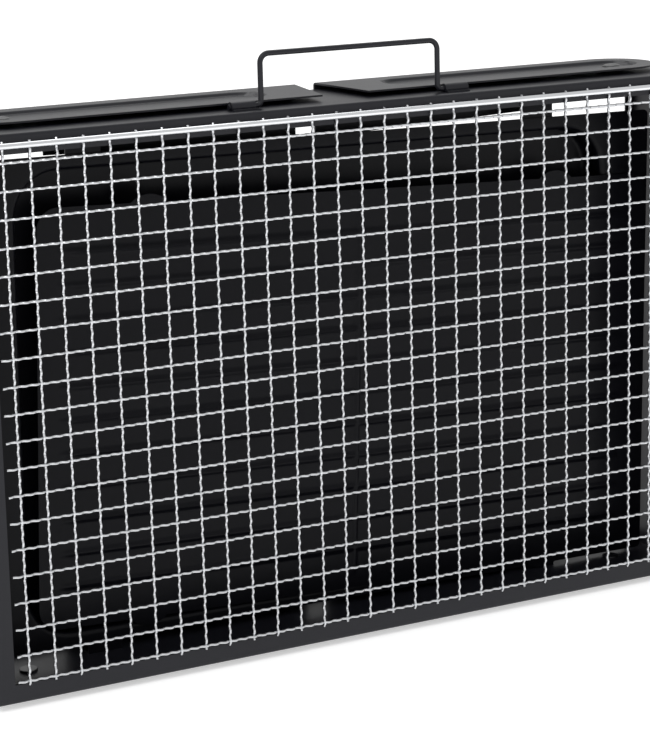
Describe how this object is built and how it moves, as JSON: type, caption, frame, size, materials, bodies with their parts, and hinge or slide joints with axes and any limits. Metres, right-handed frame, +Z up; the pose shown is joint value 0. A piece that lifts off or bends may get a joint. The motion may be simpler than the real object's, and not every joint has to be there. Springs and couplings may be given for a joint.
{
  "type": "folding suitcase charcoal grill",
  "caption": "Shallow folding charcoal grill standing closed like a suitcase, with a hinged wire cooking grate, a carry handle, a fire pan and swing-out sheet-steel legs.",
  "frame": {"origin": "under the middle of the whole grill, on the ground plane it stands on", "axes": "+X to the right along the case, +Y from the cooking grate to the open back, +Z up towards the carry handle"},
  "size_m": [0.44, 0.0736, 0.3339],
  "materials": {
    "black_powder_coat": "satin powder coat",
    "black_heat_paint": "satin heat-resistant paint",
    "blackened_rivet": "satin, painted over",
    "zinc_plate": "dull zinc plate",
    "galvanised_wire": "bright galvanised",
    "chrome_rod": "polished"
  },
  "bodies": {
    "case": {"case_shell": "black_powder_coat", "fire_pan": "black_heat_paint", "pan_hanger_left": "black_heat_paint", "pan_hanger_right": "black_heat_paint", "pan_foot_left": "black_heat_paint", "pan_foot_right": "black_heat_paint", "rod_clip_left": "black_powder_coat", "rod_clip_right": "black_powder_coat", "handle_bridge_left": "black_powder_coat", "handle_bridge_right": "black_powder_coat", "rivet_top_left": "blackened_rivet", "rivet_top_right": "blackened_rivet", "rivet_bottom_left": "blackened_rivet", "rivet_bottom_right": "blackened_rivet", "washer_top_left": "zinc_plate", "washer_top_right": "zinc_plate", "washer_bottom_left": "zinc_plate", "washer_bottom_right": "zinc_plate"},
    "coal_plate_body": {"coal_plate": "black_heat_paint"},
    "grate": {"grate_uprights": "galvanised_wire", "grate_crosswires": "galvanised_wire", "grate_rod": "chrome_rod"},
    "handle": {"carry_handle": "black_powder_coat"},
    "leg_body_top_left": {"leg_top_left": "black_powder_coat"},
    "leg_body_top_right": {"leg_top_right": "black_powder_coat"},
    "leg_body_bottom_left": {"leg_bottom_left": "black_powder_coat"},
    "leg_body_bottom_right": {"leg_bottom_right": "black_powder_coat"}
  },
  "joints": [
    {"name": "grate_hinge", "type": "hinge", "parent": "case", "child": "grate", "pos_m": [0, -0.0342, 0.29773], "axis": [-1, 0, 0], "range_deg": [0, 110]},
    {"name": "handle_hinge", "type": "hinge", "parent": "case", "child": "handle", "pos_m": [0, -0.0207, 0.3054], "axis": [1, 0, 0], "range_deg": [-58, 88]},
    {"name": "coal_plate_slide", "type": "slide", "parent": "case", "child": "coal_plate_body", "axis": [0, -1, 0], "range_m": [0, 0.042]},
    {"name": "leg_hinge_top_left", "type": "hinge", "parent": "case", "child": "leg_body_top_left", "pos_m": [-0.188, 0.0103, 0.3035], "axis": [0, 0, 1], "range_deg": [0, 101]},
    {"name": "leg_hinge_top_right", "type": "hinge", "parent": "case", "child": "leg_body_top_right", "pos_m": [0.188, 0.0103, 0.3035], "axis": [0, 0, 1], "range_deg": [-101, 0]},
    {"name": "leg_hinge_bottom_left", "type": "hinge", "parent": "case", "child": "leg_body_bottom_left", "pos_m": [-0.188, 0.0103, 0.0035], "axis": [0, 0, 1], "range_deg": [0, 101]},
    {"name": "leg_hinge_bottom_right", "type": "hinge", "parent": "case", "child": "leg_body_bottom_right", "pos_m": [0.188, 0.0103, 0.0035], "axis": [0, 0, 1], "range_deg": [-101, 0]}
  ]
}
